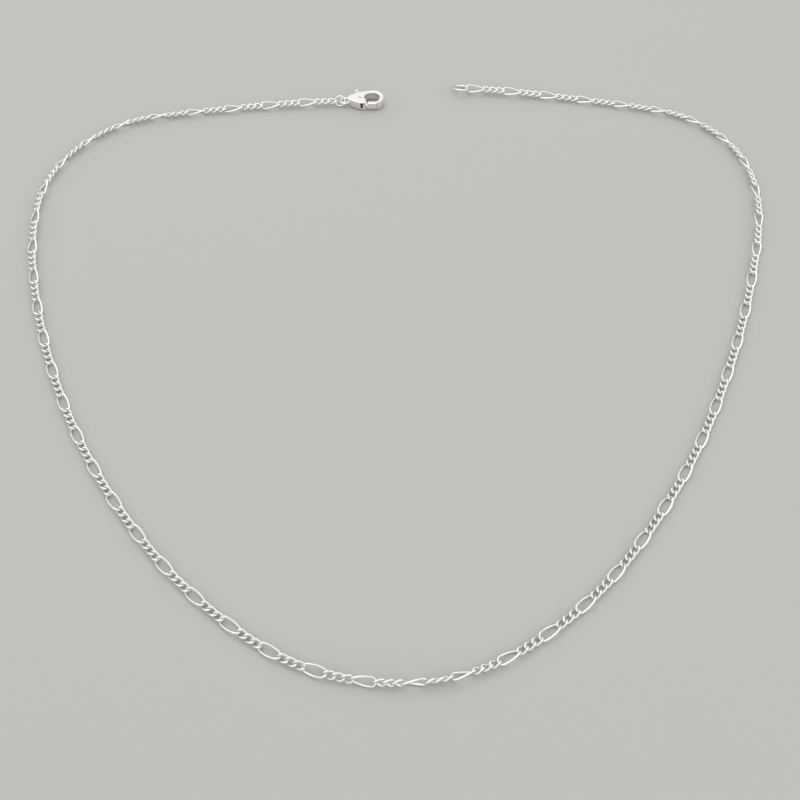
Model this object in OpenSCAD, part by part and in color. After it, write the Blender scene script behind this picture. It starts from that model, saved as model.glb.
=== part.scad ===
// Figaro chain necklace with a lobster clasp, laid out flat and unfastened.
// Millimetres. The chain lies on z = 0 with the middle of the necklace at the origin,
// the bottom of the loop towards -Y and the clasp at the back. Every link is round wire
// bent in circular arcs.

/* [Node] */

/* [Links] */
// Wire diameter of every link
wire_d = 0.48; // [0.30:0.02:0.70]
// Play between two hooked links, pulled straight
play = 0.04; // [0.02:0.01:0.10]
// Chain length taken by one short link
short_pitch = 1.68; // [1.4:0.02:2.4]
// Chain length taken by one long link
long_pitch = 4.24; // [3.4:0.02:6.0]
// Outside width of a short link
short_width = 1.92; // [1.5:0.02:2.4]
// Outside width of a long link
long_width = 2.52; // [1.8:0.02:3.0]
// Twist of a short link: how far each of its bows leans
short_twist = 46; // [36:1:50]
// Twist of a long link: how far each of its bows leans
long_twist = 41; // [36:1:50]
// How far the side of a short link bends outwards, each way from its middle
short_bulge = 8; // [4:1:14]
// How far the side of a long link bends outwards, each way from its middle
long_bulge = 14; // [8:1:24]

/* [Lie of the chain] */
// Repeats of three short links and one long link (odd)
repeats = 53; // [53:2:53]
// The middle of the bottom repeat's long link, less phase, from the middle of the necklace
bottom_at = [-0.17, -80.54, 0];
// Where the long link of the middle repeat lies, to the right of the bottom
phase = 3.1; // [0:0.1:9]
// Right half from the bottom to the open end: [length, turn in degrees]
right_run = [[23, 30.6], [30, 20.7], [40, 13.6], [50, 10.9], [10, 4.8], [14, 17], [32, 68.7], [60, 12]];
// Left half from the bottom to the open end: [length, turn in degrees]
left_run = [[27, 33.3], [30, 16.7], [40, 14.7], [40, 12.6], [20, 11.6], [10, 17.8], [34, 62.3], [70, 14]];
// Where the chain starts to turn over, along it from the bottom
turn_from = -36; // [-120:1:0]
// Where it has turned over by half a turn
turn_to = 38; // [30:1:120]
// How far it leans further up both sides
lean = 34; // [0:1:40]

/* [Rings] */
// Wire diameter of the jump ring at the clasp
ring_d = 0.5; // [0.4:0.05:0.6]
// Mean radius of the jump ring at the clasp
ring_r = 1.2; // [1.1:0.05:1.6]
// Wire diameter of the end ring that the clasp closes on
end_d = 0.6; // [0.5:0.05:0.7]
// Mean radius of the end ring
end_r = 1.9; // [1.6:0.05:2.4]

/* [Clasp] */
// Thickness of the clasp body
clasp_t = 2.2; // [1.8:0.1:2.6]
// Radius round the front of the hook
hook_r = 2.45; // [2.2:0.05:3.0]
// Radius of the opening inside the hook
mouth_r = 1.45; // [1.3:0.05:1.7]
// Centre of the hook, from the centre of the eye
hook_x = 7.3; // [7.0:0.1:8.0]
// Pivot of the trigger, from the centre of the eye
pivot_x = 3.9; // [3.7:0.1:4.2]
// Diameter of the pivot pin
pin_d = 0.7; // [0.6:0.05:0.9]
// Wire diameter of the trigger spring
spring_d = 0.2; // [0.15:0.01:0.22]

/* [Hidden] */
$fn = 96;
hair = 0.004;
sunk = 0.03;
slack = 0.05;
// a slight roll to and fro all along the chain: how far, and degrees of its wave per mm
sway = 3;
sway_rate = 5.1;
// the lean starts and is full up each side, then ends before the rings
lean_from = 105;
lean_full = 165;
lean_fades = 190;
lean_ends = 235;
// height of the chain's axis where it lies flat, what a link on edge adds,
// and how far it rises to the rings
flat_z = 0.69;
edge_z = 0.63;
ring_rise = 0.60;
ring_rise_from = 215;
ring_rise_to = 241;
// how the two rings lean, from flat
ring_lean = 56;
end_lean = 25;
// the clasp, in its own frame
eye_r = 1.0;
eye_d = 0.6;
eye_play = 0.46;
tail_x = 1.75;
tail_r = 1.0;
belly_r = 2.05;
mouth_run = 0.9;
slot_t = 1.44;
slot_top = 1.2;
// the trigger: hub, lever, gate and thumb knob
hub_r = 0.75;
lever_z1 = -0.66;
lever_z2 = 0.40;
gate_x = 5.3;
gate_y = -0.55;
gate_t = 1.8;
nose_reach = 4.67;
knob_at = 108;
knob_out = 2.85;
knob_w = 0.6;
knob_r = 0.45;
// the spring: where its two legs point
coil_r = 0.62;
spring_z = 0.56;
anchor_at = 146;
anchor_run = 1.4;
push_run = 0.85;
function chain_name(g) = str("chain_", g < 10 ? "0" : "", g);

silver = [0.86, 0.86, 0.87];

// ---------- one link ----------
// links are counted from the clasp end: three short ones, then a long one
function long(i) = i % 4 == 3;
function pitch(i) = long(i) ? long_pitch : short_pitch;

// A link is an oval of six arcs: at each end two tight ones that meet at the tip, where
// the wire leans by the twist, and along each side a wide one. Each runs into the next
// without a kink, because their tangents meet at one point, at a distance t from both ends.
// [frame of the tight arc, its radius and angle, radius of the wide arc, its slope]
function oval(L, w, a, f) =
    let (k = 1 / tan(f / 2), m = k * (cos(a) + sin(f)) - cos(f))
    let (A = m * m - sin(a) * sin(a), B = k * w * m, C = k * k * w * w - L * L)
    let (t = (B - sqrt(B * B - A * C)) / A)
    let (slope = atan(t * sin(a) / L), side_r = (w - t * (cos(a) + sin(f))) / (1 - cos(f)))
    let (t0 = [0, cos(a), sin(a)], t1 = [cos(f) * cos(slope), sin(f), -cos(f) * sin(slope)])
    let (b = acos(t0 * t1), n0 = (t1 - t0 * (t0 * t1)) / sin(b), r = t / tan(b / 2))
    let (z = cross(-n0, t0), c = [-L, 0, 0] + r * n0)
    [[for (q = [0 : 2]) [-n0[q], t0[q], z[q], c[q]]], r, b, side_r, slope];

// Each stretch is a hair thinner than the one it runs into, and its end is sunk in it.
module half_bow(m, wire, lead) {
    multmatrix(m[0])
        rotate_extrude(angle = m[2] + lead, start = -lead) translate([m[1], 0]) circle(d = wire);
}

module side(m, w, f) {
    lead = sunk / m[3] * 180 / PI;
    translate([0, w - m[3], 0]) rotate([0, m[4], 0])
        rotate_extrude(angle = 2 * (f + lead), start = 90 - f - lead) translate([m[3], 0])
            circle(d = wire_d - 2 * hair);
}

module link(i) {
    w = ((long(i) ? long_width : short_width) - wire_d) / 2;
    f = long(i) ? long_bulge : short_bulge;
    m = oval((pitch(i) + wire_d + play) / 2, w, long(i) ? long_twist : short_twist, f);
    for (s = [0, 180]) rotate([s, 0, 0]) {
        side(m, w, f);
        for (e = [0, 180]) rotate([0, e, 0])
            if (s == 0) half_bow(m, wire_d, 0);
            else half_bow(m, wire_d - hair, 2);
    }
}

// ---------- where the links lie ----------
n_links = 4 * repeats;
repeat = 3 * short_pitch + long_pitch;
mid = (short_pitch + long_pitch) / 2;
back = [mid + 2 * short_pitch, mid + short_pitch, mid, 0];
// distance of a link's centre along the chain, from the bottom of the loop
function along(i) = phase + repeat * (floor(i / 4) - (repeats - 1) / 2) - back[i % 4];
// turn of a run of arcs after a distance
function turned(run, s, k = 0) =
    k >= len(run) || s <= 0 ? 0 : min(s, run[k][0]) / run[k][0] * run[k][1] + turned(run, s - run[k][0], k + 1);
function heading(s) = s >= 0 ? turned(right_run, s) : -turned(left_run, -s);
// goes smoothly from 0 to 1 between two places
function rise(s, from, to) = s <= from ? 0 : s >= to ? 1 : (1 - cos(180 * (s - from) / (to - from))) / 2;
// the chain turns over once, by half a turn, leans up both sides, and otherwise only sways
function roll(s) =
    sway * (1 + sin(sway_rate * s)) + (180 - 2 * sway) * rise(s, turn_from, turn_to)
    + lean * (rise(abs(s), lean_from, lean_full) - rise(abs(s), lean_fades, lean_ends));
// its axis is as high as a long link with that roll needs
function axis_z(s) =
    flat_z + edge_z * abs(sin(roll(s))) + ring_rise * rise(abs(s), ring_rise_from, ring_rise_to);
function climb(s) = atan(axis_z(s + 0.5) - axis_z(s - 0.5));
function dir(s) = [cos(climb(s)) * cos(heading(s)), cos(climb(s)) * sin(heading(s)), sin(climb(s))];
steps = [for (i = 0, c = [0, 0, 0]; i <= n_links; c = c + pitch(i) * dir(along(i)), i = i + 1) c];
base = 2 * repeats + 1;
base_at = [phase, 0, axis_z(phase)] + bottom_at;
function centre(i) =
    base_at + steps[i] - steps[base] + (pitch(i) * dir(along(i)) - pitch(base) * dir(along(base))) / 2;

module at_link(i) {
    s = along(i);
    translate(centre(i)) rotate([0, -climb(s), heading(s)]) rotate([roll(s), 0, 0]) children();
}

module chain(g) {
    color(silver) for (i = [4 * g - 4 : 4 * g - 1]) at_link(i) link(i);
}

// ---------- rings and clasp ----------
module torus(r, wire) {
    rotate_extrude() translate([r, 0]) circle(d = wire);
}

// A ring hooked through the free end of a link, with its centre at the origin and
// its X axis pointing away from the chain. side is -1 at the first link and 1 at the last.
function hook_on(i, side, r, wire) = side * ((pitch(i) + wire_d + play) / 2 - (wire_d + wire) / 2 - play + r);
module at_end(i, side, reach) {
    translate(centre(i) + reach * dir(along(i)))
        rotate([0, 0, heading(along(i)) + (side < 0 ? 180 : 0)]) children();
}

module clasp_ring() {
    color(silver) at_end(0, -1, hook_on(0, -1, ring_r, ring_d)) rotate([ring_lean, 0, 0]) torus(ring_r, ring_d);
}

module end_ring() {
    last = n_links - 1;
    color(silver) at_end(last, 1, hook_on(last, 1, end_r, end_d)) rotate([end_lean, 0, 0]) torus(end_r, end_d);
}

// the clasp's frame: origin at the centre of its eye, X towards the hook, Z up
eye_to_ring = ring_r - (ring_d + eye_d) / 2 - eye_play + eye_r;
module at_clasp() {
    at_end(0, -1, hook_on(0, -1, ring_r, ring_d) - eye_to_ring) children();
}

// two upright discs on the X axis and the straight tangent walls that join them
module taper(x1, r1, x2, r2, z1, z2) {
    g = asin((r2 - r1) / (x2 - x1));
    translate([0, 0, z1]) {
        translate([x1, 0, 0]) cylinder(r = r1, h = z2 - z1);
        translate([x2, 0, 0]) cylinder(r = r2, h = z2 - z1);
        linear_extrude(z2 - z1) polygon([
            [x1 - r1 * sin(g), -r1 * cos(g)], [x2 - r2 * sin(g), -r2 * cos(g)],
            [x2 - r2 * sin(g), r2 * cos(g)], [x1 - r1 * sin(g), r1 * cos(g)]]);
    }
}

// the opening inside the hook
module mouth() {
    taper(hook_x - mouth_run, mouth_r - hair, hook_x, mouth_r, -clasp_t, clasp_t);
}

// the side of the hook that the gate closes, rounded about the pivot
module gate_side(reach, x, y, t) {
    intersection() {
        translate([pivot_x, 0, 0]) cylinder(r = reach, h = t, center = true);
        translate([x, -4, -t]) cube([6, 4 + y, 2 * t]);
    }
}

module wedge(a1, a2, r, z1, z2) {
    translate([pivot_x, 0, z1]) linear_extrude(z2 - z1)
        polygon([[0, 0], [r * cos(a1), r * sin(a1)], [r * cos(a2), r * sin(a2)]]);
}

module clasp_shell() {
    taper(tail_x, tail_r, pivot_x, belly_r, -clasp_t / 2, clasp_t / 2);
    taper(pivot_x, belly_r, hook_x, hook_r, -clasp_t / 2, clasp_t / 2);
}

module clasp_body() {
    color(silver) at_clasp() difference() {
        union() {
            torus(eye_r, eye_d);
            difference() {
                clasp_shell();
                mouth();
                gate_side(nose_reach + slack, gate_x, gate_y, 2 * clasp_t);
            }
        }
        translate([pivot_x, 0, 0]) cylinder(r = hub_r + 0.3, h = slot_t, center = true);
        wedge(80, 152, 4.5, -slot_t / 2, slot_t / 2);
        translate([pivot_x, -3, -slot_t / 2]) cube([hook_x - mouth_run - pivot_x, 3 + slot_top, slot_t]);
        translate([pivot_x, 0, 0]) cylinder(d = pin_d, h = 2 * clasp_t, center = true);
        translate([pivot_x, 0, spring_z - spring_d / 2 - slack]) rotate(anchor_at)
            translate([0, coil_r - spring_d / 2 - slack, 0])
                cube([anchor_run + slack, spring_d + 2 * slack, slot_t / 2 - spring_z + spring_d]);
    }
}

module lever_outline(z1, z2) {
    difference() {
        taper(pivot_x, belly_r - slack, hook_x, hook_r - slack, z1, z2);
        mouth();
    }
}

module clasp_trigger() {
    color(silver) at_clasp() difference() {
        union() {
            translate([pivot_x, 0, lever_z1]) cylinder(r = hub_r, h = lever_z2 - lever_z1);
            intersection() {
                lever_outline(lever_z1, lever_z2);
                union() {
                    gate_side(nose_reach, pivot_x + hub_r, gate_y - slack, clasp_t);
                    wedge(-75, -10, 3, -clasp_t, clasp_t);
                }
            }
            intersection() {
                lever_outline(-gate_t / 2, gate_t / 2);
                gate_side(nose_reach, gate_x + 0.45, gate_y - slack, clasp_t);
            }
            translate([pivot_x, 0, 0]) rotate(knob_at) {
                translate([0, -knob_w / 2, lever_z1]) cube([knob_out, knob_w, lever_z2 - lever_z1]);
                translate([knob_out, 0, 0]) cylinder(r = knob_r, h = gate_t, center = true);
            }
        }
        translate([pivot_x, 0, 0]) cylinder(d = pin_d + 2 * slack, h = 2 * clasp_t, center = true);
    }
}

module clasp_pin() {
    color(silver) at_clasp() translate([pivot_x, 0, 0]) cylinder(d = pin_d, h = clasp_t - 0.06, center = true);
}

// a hairpin spring bent round the pin: one leg sits in a groove of the body
// and the other lies beside the knob's arm
module clasp_spring() {
    color(silver) at_clasp() translate([pivot_x, 0, spring_z]) {
        rotate_extrude(angle = knob_at - anchor_at + 180, start = anchor_at + 90 - 360)
            translate([coil_r, 0]) circle(d = spring_d);
        rotate(anchor_at) translate([-sunk, coil_r, 0]) spring_leg(anchor_run);
        rotate(knob_at) translate([-sunk, -coil_r, 0]) spring_leg(push_run);
    }
}

module spring_leg(run) {
    rotate([0, 90, 0]) cylinder(d = spring_d - hair, h = run + sunk);
}

for (g = [1 : repeats]) chain(g);
clasp_ring();
clasp_body();
clasp_trigger();
clasp_pin();
clasp_spring();
end_ring();
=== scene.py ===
import math

import bmesh
import bpy
import numpy as np
from mathutils import Matrix, Vector


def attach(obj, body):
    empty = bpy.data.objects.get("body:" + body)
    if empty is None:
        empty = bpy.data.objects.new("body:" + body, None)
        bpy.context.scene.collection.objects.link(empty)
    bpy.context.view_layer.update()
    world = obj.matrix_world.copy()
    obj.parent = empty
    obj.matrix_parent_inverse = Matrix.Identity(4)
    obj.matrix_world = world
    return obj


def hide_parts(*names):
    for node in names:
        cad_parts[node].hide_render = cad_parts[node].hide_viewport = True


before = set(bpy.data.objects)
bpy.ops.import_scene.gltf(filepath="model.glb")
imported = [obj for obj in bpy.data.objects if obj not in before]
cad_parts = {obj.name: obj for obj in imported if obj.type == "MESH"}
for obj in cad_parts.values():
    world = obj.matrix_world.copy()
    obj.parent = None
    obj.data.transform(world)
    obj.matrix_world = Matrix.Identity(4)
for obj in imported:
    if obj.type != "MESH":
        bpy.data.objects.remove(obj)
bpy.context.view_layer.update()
MM = 0.001
WELD_DIGITS = 7  # corners of the CAD meshes that agree to this many digits are one corner


# ------------------------------------------------------------ shared by all pieces

def solids(name):
    """The separate solids of a CAD node, each as its triangles' corners."""
    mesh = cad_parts[name].data
    mesh.calc_loop_triangles()
    corners = np.zeros(len(mesh.vertices) * 3, np.float32)
    mesh.vertices.foreach_get("co", corners)
    triangles = np.zeros(len(mesh.loop_triangles) * 3, np.int32)
    mesh.loop_triangles.foreach_get("vertices", triangles)
    corners = np.round(corners.reshape(-1, 3), WELD_DIGITS)
    spots, same = np.unique(corners, axis=0, return_inverse=True)
    triangles = same.reshape(-1)[triangles].reshape(-1, 3)
    # each corner takes the lowest label it is joined to, until no label changes
    label = np.arange(len(spots))
    while True:
        lowest = label[triangles].min(1)
        new = label.copy()
        np.minimum.at(new, triangles.ravel(), np.repeat(lowest, 3))
        new = new[new]
        if (new == label).all():
            break
        label = new
    part = label[triangles[:, 0]]
    return [spots[triangles[part == p]].astype(float) for p in np.unique(part)]


def lie(solid):
    """Where a solid lies and how long it is: X is its longest way and Z its thinnest.

    Either way along an axis will do, since links and rings look the same after half a
    turn about any of the three.
    """
    edges = np.cross(solid[:, 1] - solid[:, 0], solid[:, 2] - solid[:, 0])
    area = np.linalg.norm(edges, axis=1) / 2
    centre = (area[:, None] * solid.mean(1)).sum(0) / area.sum()
    p = solid - centre
    total = p.sum(1)
    spread = np.einsum("t,tki,tkj->ij", area, p, p)
    spread = spread + np.einsum("t,ti,tj->ij", area, total, total)
    axes = np.linalg.eigh(spread)[1][:, ::-1]
    axes[:, 2] = np.cross(axes[:, 0], axes[:, 1])
    length = np.ptp(p.reshape(-1, 3) @ axes[:, 0])
    return Matrix.LocRotScale(Vector(centre), Matrix(axes.tolist()), None), length


def add(name, bm):
    """A mesh becomes a piece of the scene."""
    mesh = bpy.data.meshes.new(name)
    bm.to_mesh(mesh)
    bm.free()
    piece = bpy.data.objects.new(name, mesh)
    bpy.context.scene.collection.objects.link(piece)
    return piece


def tube(places, sides, radius):
    """A closed tube through circles at the given places, in the same order at every run."""
    bm = bmesh.new()
    rings = []
    for place in places:
        made = bmesh.ops.create_circle(bm, segments=sides, radius=radius, matrix=place)
        rings.append(list(dict.fromkeys(e for v in made["verts"] for e in v.link_edges)))
    for k in range(len(rings)):
        bmesh.ops.bridge_loops(bm, edges=rings[k - 1] + rings[k])
    bmesh.ops.recalc_face_normals(bm, faces=bm.faces)
    return bm


def metal(obj, material):
    """Gives a piece one material and smooth shading."""
    obj.data.materials.clear()
    obj.data.materials.append(material)
    obj.data.polygons.foreach_set("use_smooth", [True] * len(obj.data.polygons))


def rounded(obj, levels):
    """Subdivides a coarse piece, the same when shown and when rendered."""
    finish = obj.modifiers.new("rounding", "SUBSURF")
    finish.levels = finish.render_levels = levels


def linear(code):
    """An sRGB hex colour as linear values."""
    parts = [int(code[k:k + 2], 16) / 255 for k in (1, 3, 5)]
    lit = [c / 12.92 if c <= 0.04045 else ((c + 0.055) / 1.055) ** 2.4 for c in parts]
    return lit + [1.0]


def node(tree, kind, sockets=(), links=(), **settings):
    """Adds one shader node, with its settings, its input values and its input links."""
    made = tree.nodes.new(kind)
    for key, value in settings.items():
        setattr(made, key, value)
    for key, value in dict(sockets).items():
        made.inputs[key].default_value = value
    for key, source in dict(links).items():
        tree.links.new(source, made.inputs[key])
    return made


def new_material(name):
    """An empty material and its node tree."""
    material = bpy.data.materials.new(name)
    material.use_nodes = True
    tree = material.node_tree
    tree.nodes.clear()
    return material, tree


# ---------------------------------------------------------------- the links
# Every link is a length of round drawn silver wire, bent into a loop, soldered shut and
# twisted: the bow at one end leans one way and the bow at the other end leans the other
# way, so that a chain of them lies flat. Three short links are followed by one long one.

WIRE = 0.48 * MM  # thickness of the wire
PLAY = 0.04 * MM  # gap left where two links meet
SHORT = {
    "pitch": 1.68 * MM, "width": 1.92 * MM,
    "twist": math.radians(46), "bulge": math.radians(8),
    "bow_steps": 3, "side_steps": 2,
}
LONG = {
    "pitch": 4.24 * MM, "width": 2.52 * MM,
    "twist": math.radians(41), "bulge": math.radians(14),
    "bow_steps": 2, "side_steps": 3,
}
LONGEST_SHORT_LINK = 3.5 * MM  # a link longer than this is a long one
WIRE_SIDES = 6  # the coarse wire, before it is subdivided
CAGE_ROUNDS = 8  # each brings the subdivided wire closer to its true path
LINK_ROUNDING = 2


def wire_path(pitch, width, twist, bulge, bow_steps, side_steps):
    """Points on the middle of a link's wire, once round its oval of six arcs."""
    half, across = (pitch + WIRE + PLAY) / 2, (width - WIRE) / 2
    # the tangents of a tight arc and of the wide one beside it meet `tangent` from both ends
    k = 1 / math.tan(bulge / 2)
    m = k * (math.cos(twist) + math.sin(bulge)) - math.cos(bulge)
    a, b, c = m * m - math.sin(twist) ** 2, k * across * m, (k * across) ** 2 - half * half
    tangent = (b - math.sqrt(b * b - a * c)) / a
    slope = math.atan(tangent * math.sin(twist) / half)
    side_rise = across - tangent * (math.cos(twist) + math.sin(bulge))
    side_radius = side_rise / (1 - math.cos(bulge))
    tip = Vector((0, math.cos(twist), math.sin(twist)))
    lean = Matrix.Rotation(slope, 3, "Y")
    leg = lean @ Vector((math.cos(bulge), math.sin(bulge), 0))
    turn = tip.angle(leg)
    radius = tangent / math.tan(turn / 2)
    inward = (leg - tip * tip.dot(leg)).normalized()
    start = Vector((-half, 0, 0))
    bow = []
    for step in range(bow_steps + 1):
        u = turn * step / bow_steps
        bow.append(start + radius * (math.sin(u) * tip + (1 - math.cos(u)) * inward))
    middle = []
    for step in range(1, side_steps):
        u = bulge * (2 * step / side_steps - 1)
        outwards = lean @ Vector((math.sin(u), math.cos(u), 0))
        middle.append(Vector((0, across - side_radius, 0)) + side_radius * outwards)
    half_way = bow + middle + [Vector((-p.x, p.y, -p.z)) for p in reversed(bow[1:])]
    return half_way + [Vector((-p.x, -p.y, p.z)) for p in half_way]


def smoothed(points):
    """Where a closed run of points ends up once the subdivision has rounded it."""
    n = len(points)
    return [(points[k - 1] + points[k] * 4 + points[(k + 1) % n]) / 6 for k in range(n)]


def cage_path(points):
    """Points that the subdivision draws back onto the given ones."""
    cage = [p.copy() for p in points]
    for _ in range(CAGE_ROUNDS):
        drawn = smoothed(cage)
        cage = [c + p - d for c, p, d in zip(cage, points, drawn)]
    return cage


def link_mesh(name, sizes):
    """A coarse six-sided wire round the loop, to be subdivided."""
    path = cage_path(wire_path(**sizes))
    # subdividing draws the sides of the wire inwards too, so they start further out
    swell = 3 / (2 + math.cos(math.tau / WIRE_SIDES))
    up = Vector((0, 0, 1))
    places = []
    for k, spot in enumerate(path):
        along = (path[(k + 1) % len(path)] - path[k - 1]).normalized()
        across = up.cross(along).normalized()
        turn = Matrix((across, along.cross(across), along)).transposed().to_4x4()
        places.append(Matrix.Translation(spot) @ turn)
    bm = tube(places, WIRE_SIDES, WIRE / 2 * swell)
    mesh = bpy.data.meshes.new(name)
    bm.to_mesh(mesh)
    bm.free()
    return mesh


short_link = link_mesh("short_link", SHORT)
long_link = link_mesh("long_link", LONG)


# Sterling silver, drawn, soldered, tumbled bright and rhodium-flashed: almost white, with
# sharp highlights. Tumbling leaves soft dimples, and wear brings fine hazy patches.
def tumbled_silver():
    material, tree = new_material("tumbled_sterling_silver")
    place = node(tree, "ShaderNodeTexCoord").outputs["Object"]
    haze = node(tree, "ShaderNodeTexNoise", {"Scale": 900, "Detail": 3}, {"Vector": place})
    dimples = node(tree, "ShaderNodeTexNoise", {"Scale": 2600, "Detail": 2}, {"Vector": place})
    rough = node(
        tree, "ShaderNodeMapRange",
        {"From Min": 0.35, "From Max": 0.7, "To Min": 0.12, "To Max": 0.24},
        {"Value": haze.outputs["Fac"]},
    )
    bump = node(
        tree, "ShaderNodeBump", {"Strength": 0.25, "Distance": 0.02 * MM},
        {"Height": dimples.outputs["Fac"]},
    )
    shader = node(
        tree, "ShaderNodeBsdfPrincipled",
        {"Base Color": linear("#F7F6F3"), "Metallic": 1.0},
        {"Roughness": rough.outputs["Result"], "Normal": bump.outputs["Normal"]},
    )
    node(tree, "ShaderNodeOutputMaterial", links={"Surface": shader.outputs["BSDF"]})
    return material


silver = tumbled_silver()

for name in sorted(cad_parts):
    if not name.startswith("chain_"):
        continue
    bm = bmesh.new()
    for solid in solids(name):
        place, length = lie(solid)
        link = (long_link if length > LONGEST_SHORT_LINK else short_link).copy()
        link.transform(place)
        bm.from_mesh(link)
        bpy.data.meshes.remove(link)
    four_links = add(name.replace("chain", "links"), bm)
    metal(four_links, silver)
    rounded(four_links, LINK_ROUNDING)
    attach(four_links, name.replace("chain", "links"))
    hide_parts(name)


# ------------------------------------------------------- jump ring and end ring
# Two plain rings of the same silver wire. The jump ring ties the clasp to the first short
# link, and the larger end ring hangs on the last long link, for the clasp to close on.
# Each was bent round a rod, and its butt joint was soldered.

JUMP_RING_WIRE = 0.5 * MM
END_RING_WIRE = 0.6 * MM
RING_WIRE_SIDES = 12
RING_STEPS = 48
RING_ROUNDING = 1


def ring(name, body, wire):
    """A round ring of wire, lying where the CAD ring lies."""
    place, across = lie(solids(name)[0])
    out_to_wire = Matrix.Translation(((across - wire) / 2, 0, 0))
    first = out_to_wire @ Matrix.Rotation(math.pi / 2, 4, "X")
    turns = [math.tau * step / RING_STEPS for step in range(RING_STEPS)]
    places = [Matrix.Rotation(turn, 4, "Z") @ first for turn in turns]
    bm = tube(places, RING_WIRE_SIDES, wire / 2)
    bmesh.ops.transform(bm, matrix=place, verts=bm.verts)
    piece = add(name.replace("ring", "hoop"), bm)
    metal(piece, silver)
    rounded(piece, RING_ROUNDING)
    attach(piece, body)
    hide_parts(name)


ring("clasp_ring", "clasp_ring", JUMP_RING_WIRE)
ring("end_ring", "end_ring", END_RING_WIRE)


# ------------------------------------------------------------- the lobster clasp
# A cast and polished silver claw: a hollow body with an eye at its tail and a hook at its
# nose, and a sprung trigger whose gate shuts the hook. The wax patterns have soft edges
# and tumbling wears them further, so that no rim or slot is left sharp.

SEAM = 0.0005 * MM  # corners closer than this are joined, which closes the CAD mesh
SKIN_GRAIN = 0.055 * MM  # how fine the skin over the casting is
WEAR_STRENGTH = 0.5
WEAR_ROUNDS = 22  # more of them wear the edges rounder


def casting(name, body):
    """A copy of the CAD solid, with one skin all over and its edges worn round."""
    bm = bmesh.new()
    bm.from_mesh(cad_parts[name].data)
    bmesh.ops.remove_doubles(bm, verts=bm.verts, dist=SEAM)
    piece = add(name + "_casting", bm)
    metal(piece, silver)
    skin = piece.modifiers.new("skin", "REMESH")
    skin.mode, skin.voxel_size, skin.use_smooth_shade = "VOXEL", SKIN_GRAIN, True
    wear = piece.modifiers.new("worn_edges", "SMOOTH")
    wear.factor, wear.iterations = WEAR_STRENGTH, WEAR_ROUNDS
    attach(piece, body)
    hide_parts(name)


casting("clasp_body", "clasp")
casting("clasp_trigger", "trigger")


# ------------------------------------------------------- the clasp's pin and spring
# The trigger turns on a stainless steel rivet, filed flush and polished with the body. The
# hairpin spring round it is hard-drawn stainless wire: a little darker than the silver,
# with faint streaks from the die.

def drawn_stainless():
    material, tree = new_material("drawn_stainless_steel")
    place = node(tree, "ShaderNodeTexCoord").outputs["Object"]
    streaks = node(tree, "ShaderNodeTexNoise", {"Scale": 4000, "Detail": 2}, {"Vector": place})
    rough = node(
        tree, "ShaderNodeMapRange", {"To Min": 0.18, "To Max": 0.34},
        {"Value": streaks.outputs["Fac"]},
    )
    shader = node(
        tree, "ShaderNodeBsdfPrincipled",
        {"Base Color": linear("#C9C7C4"), "Metallic": 1.0},
        {"Roughness": rough.outputs["Result"]},
    )
    node(tree, "ShaderNodeOutputMaterial", links={"Surface": shader.outputs["BSDF"]})
    return material


stainless = drawn_stainless()
for name in ("clasp_pin", "clasp_spring"):
    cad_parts[name].data.materials.clear()
    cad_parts[name].data.materials.append(stainless)


# ----------------------------------------------------------------- the studio
# A pale board to lie on, a large soft box overhead and a weaker one from the side. The
# room is a light tent: pale at the horizon, dark in a band above it where its frame is,
# and bright overhead, so that the round wire shows a bright back and darker flanks.

BOARD_RADIUS = 8.0  # wide enough that its rim is far behind everything in a low view
BOARD_SIDES = 128


def pale_board():
    material, tree = new_material("pale_card")
    shader = node(
        tree, "ShaderNodeBsdfPrincipled", {"Base Color": linear("#BFBDB9"), "Roughness": 0.8}
    )
    node(tree, "ShaderNodeOutputMaterial", links={"Surface": shader.outputs["BSDF"]})
    return material


bm = bmesh.new()
bmesh.ops.create_circle(bm, cap_ends=True, segments=BOARD_SIDES, radius=BOARD_RADIUS)
floor = add("floor", bm)
floor.data.materials.append(pale_board())


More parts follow.
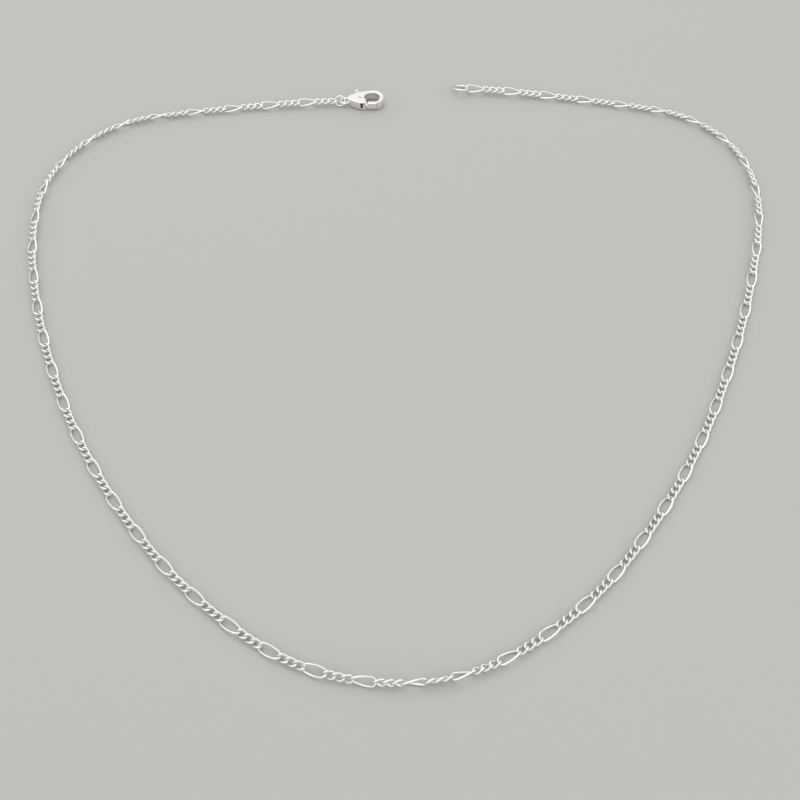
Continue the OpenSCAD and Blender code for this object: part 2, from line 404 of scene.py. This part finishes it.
def soft_box(name, at, size, power):
    """A square lamp, turned towards the middle of the necklace."""
    lamp = bpy.data.lights.new(name, "AREA")
    lamp.shape, lamp.size, lamp.size_y, lamp.energy = "RECTANGLE", size, size, power
    box = bpy.data.objects.new(name, lamp)
    box.location = at
    box.rotation_euler = (-Vector(at)).to_track_quat("-Z", "Y").to_euler()
    bpy.context.scene.collection.objects.link(box)


soft_box("overhead", at=(-0.15, 0.25, 0.55), size=0.35, power=0.45)
soft_box("side", at=(0.5, -0.2, 0.3), size=0.25, power=0.15)

# the tent's colours, and how high each begins: 0 is the horizon and 1 is overhead
HORIZON, FRAME_BAND, BRIGHT = linear("#C1C0BC"), linear("#4A4B4E"), linear("#FFFFFF")
TENT_STEPS = ((0.09, HORIZON), (0.14, FRAME_BAND), (0.28, BRIGHT))
TENT_STRENGTH = 0.95

world = bpy.data.worlds.new("light_tent")
bpy.context.scene.world = world
world.use_nodes = True
sky = world.node_tree
sky.nodes.clear()
way = node(sky, "ShaderNodeTexCoord").outputs["Generated"]
height = node(sky, "ShaderNodeSeparateXYZ", links={"Vector": way}).outputs["Z"]
tent = node(sky, "ShaderNodeValToRGB", links={"Fac": height})
tent.color_ramp.elements[0].color = HORIZON
tent.color_ramp.elements[1].color = BRIGHT
for above_horizon, colour in TENT_STEPS:
    tent.color_ramp.elements.new(above_horizon).color = colour
glow = node(
    sky, "ShaderNodeBackground", {"Strength": TENT_STRENGTH}, {"Color": tent.outputs["Color"]}
)
node(sky, "ShaderNodeOutputWorld", links={"Surface": glow.outputs[0]})

CAMERA_AT = (0.41 * MM, -175.9 * MM, 223.3 * MM)
CAMERA_TILT = math.radians(35.5)  # from straight down, so it looks down 54.5 degrees

lens = bpy.data.cameras.new("camera")
lens.sensor_width = 36.0
lens.lens = 58.5
lens.clip_start = 0.01
camera = bpy.data.objects.new("camera", lens)
camera.location = CAMERA_AT
camera.rotation_euler = (CAMERA_TILT, 0, 0)
bpy.context.scene.collection.objects.link(camera)
bpy.context.scene.camera = camera
bpy.context.scene.view_settings.view_transform = "Standard"
